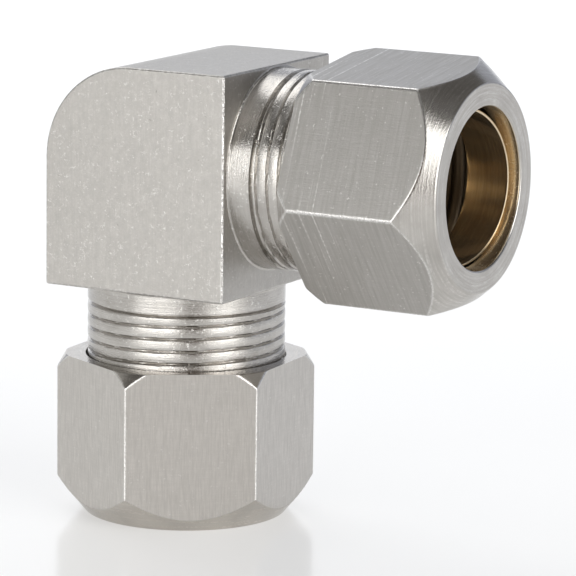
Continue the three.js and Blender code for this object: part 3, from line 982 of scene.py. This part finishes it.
def make_camera(crossing):
    """Looks at a point a little right of and below the crossing of the axes."""
    back = Vector(
        (
            math.sin(CAMERA_AZIMUTH) * math.cos(CAMERA_ELEVATION),
            -math.cos(CAMERA_AZIMUTH) * math.cos(CAMERA_ELEVATION),
            math.sin(CAMERA_ELEVATION),
        )
    )
    level_right = Vector((math.cos(CAMERA_AZIMUTH), math.sin(CAMERA_AZIMUTH), 0))
    level_up = back.cross(level_right)
    right = level_right * math.cos(CAMERA_ROLL) + level_up * math.sin(CAMERA_ROLL)
    up = back.cross(right)
    aim = crossing + right * AIM_RIGHT + up * AIM_UP
    data = bpy.data.cameras.new("camera")
    data.lens = CAMERA_LENS
    data.sensor_width = CAMERA_SENSOR
    data.clip_end = CAMERA_REACH
    camera = bpy.data.objects.new("camera", data)
    turn = Matrix((right, up, back)).transposed().to_4x4()
    camera.matrix_world = Matrix.Translation(aim + back * CAMERA_DISTANCE) @ turn
    bpy.context.scene.collection.objects.link(camera)
    bpy.context.scene.camera = camera


def make_floor():
    half = FLOOR_SIZE / 2
    mesh = bpy.data.meshes.new("floor")
    corners = [(-half, -half, 0), (half, -half, 0), (half, half, 0), (-half, half, 0)]
    mesh.from_pydata(corners, [], [(0, 1, 2, 3)])
    mesh.materials.append(floor_paper("floor_paper"))
    object_of(mesh)


# ---- The studio's light ----------------------------------------------------------------------

# Directions are in degrees. A level is an angle above the horizon, and a bearing is an angle about
# +Z from -Y, positive towards +X. A start or an end is where a soft step is 0 and where it is 1.

WALL = (0.50, 0.50, 0.49, 1)
DARK_WALL = (0.32, 0.31, 0.30, 1)
SOFTBOX = (2.5, 2.5, 2.48, 1)
BACKDROP_PANEL = (0.98, 1.0, 1.04, 1)
BACKDROP = (0.40, 0.42, 0.47, 1)
DIM_BAND = (0.12, 0.115, 0.11, 1)
CEILING = (0.50, 0.50, 0.50, 1)
LAMP = (1.9, 1.9, 1.9, 1)
BROWN_CARD = (0.13, 0.10, 0.08, 1)
STUDIO_STRENGTH = 1.12

LEFT_SOFTBOX_START = (-27, -24)
LEFT_SOFTBOX_END = (22, 18)
LEFT_SOFTBOX_LEAN = 0.35
CARD_BEARINGS = (22, 55)
RIGHT_SOFTBOX_BEARINGS = (55, 96)
DARK_WALL_START = (60, 90)
BACKDROP_START = (95, 115)
PANEL_BEARINGS = (-164, -130)
PANEL_TOP = (21, 16)

# The level of the walls' top, which changes from left to right, and where it changes.
LEFT_TOP = 25
RIGHT_TOP = 31
RIGHT_SOFTBOX_TOP = 43
BACKDROP_TOP = 26
TOP_SOFTNESS = 3
RIGHT_TOP_START = (20, 40)
RIGHT_SOFTBOX_TOP_BEARINGS = (56, 94)
BACKDROP_TOP_START = (100, 115)

DIM_BAND_START = (-112, -100)
DIM_BAND_END = (-160, -180)
HALF_LIT_BEARINGS = (-82, -42)
HALF_LIT_LEVELS = (22, 48)
CEILING_START = (60, 66)
LAMP_BEARINGS = (-145, -104)
LAMP_LEVELS = (31, 66)


def studio_walls(n, level, bearing):
    """Grey walls with two softboxes in front and a brown card between them, and a backdrop with a
    bright panel low on it. The left softbox's edge leans."""
    panel_bearings = n.band(bearing, PANEL_BEARINGS, soft=4)
    panel = n.math("MULTIPLY", n.step(level, *PANEL_TOP), panel_bearings)
    backdrop = n.mix(panel, BACKDROP, BACKDROP_PANEL)
    side = n.mix(n.step(bearing, *DARK_WALL_START), WALL, DARK_WALL)
    behind = n.step(n.math("ABSOLUTE", bearing), *BACKDROP_START)
    walls = n.mix(behind, side, backdrop)
    leaning = n.math("MULTIPLY_ADD", level, LEFT_SOFTBOX_LEAN, bearing)
    left_softbox = n.math(
        "MULTIPLY", n.step(leaning, *LEFT_SOFTBOX_START), n.step(bearing, *LEFT_SOFTBOX_END)
    )
    walls = n.mix(left_softbox, walls, SOFTBOX)
    walls = n.mix(n.band(bearing, RIGHT_SOFTBOX_BEARINGS, soft=2), walls, SOFTBOX)
    return n.mix(n.band(bearing, CARD_BEARINGS, soft=1), walls, BROWN_CARD)


def above_walls(n, walls, level, bearing):
    """Adds what is above the walls: a dim band, half lit at the left, a grey ceiling and a lamp."""
    top = n.blend(n.step(bearing, *RIGHT_TOP_START), LEFT_TOP, RIGHT_TOP)
    on_softbox = n.band(bearing, RIGHT_SOFTBOX_TOP_BEARINGS, soft=4)
    top = n.blend(on_softbox, top, RIGHT_SOFTBOX_TOP)
    top = n.blend(n.step(bearing, *BACKDROP_TOP_START), top, BACKDROP_TOP)
    over_top = n.step(n.math("SUBTRACT", level, top), 0, TOP_SOFTNESS)
    dim_bearings = n.math(
        "MAXIMUM", n.step(bearing, *DIM_BAND_START), n.step(bearing, *DIM_BAND_END)
    )
    colour = n.mix(n.math("MULTIPLY", over_top, dim_bearings), walls, DIM_BAND)
    half_lit_bearings = n.band(bearing, HALF_LIT_BEARINGS, soft=6)
    half_lit_levels = n.band(level, HALF_LIT_LEVELS, soft=4)
    colour = n.mix(n.math("MULTIPLY", half_lit_bearings, half_lit_levels), colour, WALL)
    colour = n.mix(n.step(level, *CEILING_START), colour, CEILING)
    lamp_levels = n.band(level, LAMP_LEVELS, soft=2)
    lamp_bearings = n.band(bearing, LAMP_BEARINGS, soft=4)
    return n.mix(n.math("MULTIPLY", lamp_levels, lamp_bearings), colour, LAMP)


def make_world():
    world = bpy.data.worlds.new("studio")
    bpy.context.scene.world = world
    world.use_nodes = True
    n = Nodes(world.node_tree)
    place = n.node("ShaderNodeTexCoord").outputs["Generated"]
    x, y, z = n.node("ShaderNodeSeparateXYZ", {"Vector": place}).outputs
    level = n.math("DEGREES", n.math("ARCSINE", z))
    bearing = n.math("DEGREES", n.math("ARCTAN2", x, n.math("MULTIPLY", y, -1.0)))
    walls = studio_walls(n, level, bearing)
    background = n.tree.nodes["Background"]
    n.connect(background.inputs["Color"], above_walls(n, walls, level, bearing))
    n.connect(background.inputs["Strength"], STUDIO_STRENGTH)


# ---- The scene -------------------------------------------------------------------------------


def hand_over(piece, node):
    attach(piece, node)
    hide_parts(node)


def add_body(crossing, bore, painted_shade):
    looks = [
        satin_nickel("satin_nickel"),
        turned_nickel("side_turned_nickel", (True, False, False)),
        turned_nickel("lower_turned_nickel", (False, False, True)),
        bore,
        painted_shade,
    ]
    body = elbow_body(crossing, looks)
    hand_over(body, "elbow_body")


def add_side_nut(crossing, bore, painted_shade):
    low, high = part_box("side_nut")
    face = (high.x - crossing.x) / MM
    length = (high.x - low.x) / MM
    plate = nut_nickel(
        "side_nut_nickel",
        SIDE_NUT_GRAIN,
        NICKEL_SHADE,
        NICKEL_SOFT,
        NICKEL_LIGHT,
        scratch_share=1.0,
    )
    side_nut = nut(
        "side_hex_nut",
        face,
        length,
        SIDE_NUT_CORNER,
        SIDE_NUT_EDGE_ROUND,
        front_wear_and_highlight=1.0,
        looks=[plate, bore, painted_shade],
    )
    side_nut.matrix_world = Matrix.Translation(crossing) @ SIDEWAYS
    hand_over(side_nut, "side_nut")
    return face


def add_lower_nut(crossing, bore, painted_shade):
    low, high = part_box("lower_nut")
    face = (crossing.z - low.z) / MM
    length = (high.z - low.z) / MM
    plate = nut_nickel(
        "lower_nut_nickel",
        LOWER_NUT_GRAIN,
        NICKEL_EVEN,
        NICKEL_CLEAR,
        NICKEL_WARM,
        scratch_share=0.0,
    )
    lower_nut = nut(
        "lower_hex_nut",
        face,
        length,
        LOWER_NUT_CORNER,
        LOWER_NUT_EDGE_ROUND,
        front_wear_and_highlight=0.0,
        looks=[plate, bore, painted_shade],
    )
    lower_nut.matrix_world = Matrix.Translation(crossing) @ DOWNWARDS
    hand_over(lower_nut, "lower_nut")
    return face


def add_olives(crossing, side_face, lower_face):
    """The side olive lies cocked in its nut, and the lower one square."""
    look = bare_brass("olive_brass", OLIVE_LIGHT, OLIVE_DARK, OLIVE_ROUGHNESS, metallic=0.95)
    side_olive = olive("side_compression_ring", look)
    offset = Vector((side_face - SIDE_OLIVE_DEPTH, -SIDE_OLIVE_SHIFT, -SIDE_OLIVE_DROP)) * MM
    lean = Matrix.Rotation(-SIDE_OLIVE_LEAN, 4, "Z")
    side_olive.matrix_world = Matrix.Translation(crossing + offset) @ lean @ SIDEWAYS
    hand_over(side_olive, "side_olive")

    lower_olive = olive("lower_compression_ring", look)
    offset = Vector((0, 0, LOWER_OLIVE_DEPTH - lower_face)) * MM
    lower_olive.matrix_world = Matrix.Translation(crossing + offset) @ DOWNWARDS
    hand_over(lower_olive, "lower_olive")


def main():
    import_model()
    side_low, side_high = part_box("side_nut")
    lower_low, lower_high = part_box("lower_nut")
    crossing = Vector(((lower_low.x + lower_high.x) / 2, 0, (side_low.z + side_high.z) / 2))

    bore = bare_brass("bore_brass", BORE_LIGHT, BORE_DARK, BORE_ROUGHNESS, metallic=0.94)
    # Dark brass inside the nuts and in the spigots' mouths: painted shade.
    painted_shade = bare_brass("painted_shade_brass", RECESS_SHADE_LIGHT, RECESS_SHADE_DARK, RECESS_ROUGHNESS, metallic=0.9)
    add_body(crossing, bore, painted_shade)
    side_face = add_side_nut(crossing, bore, painted_shade)
    lower_face = add_lower_nut(crossing, bore, painted_shade)
    add_olives(crossing, side_face, lower_face)

    bpy.context.scene.view_settings.view_transform = "Standard"
    make_camera(crossing)
    make_floor()
    make_world()

    bpy.context.view_layer.update()


main()
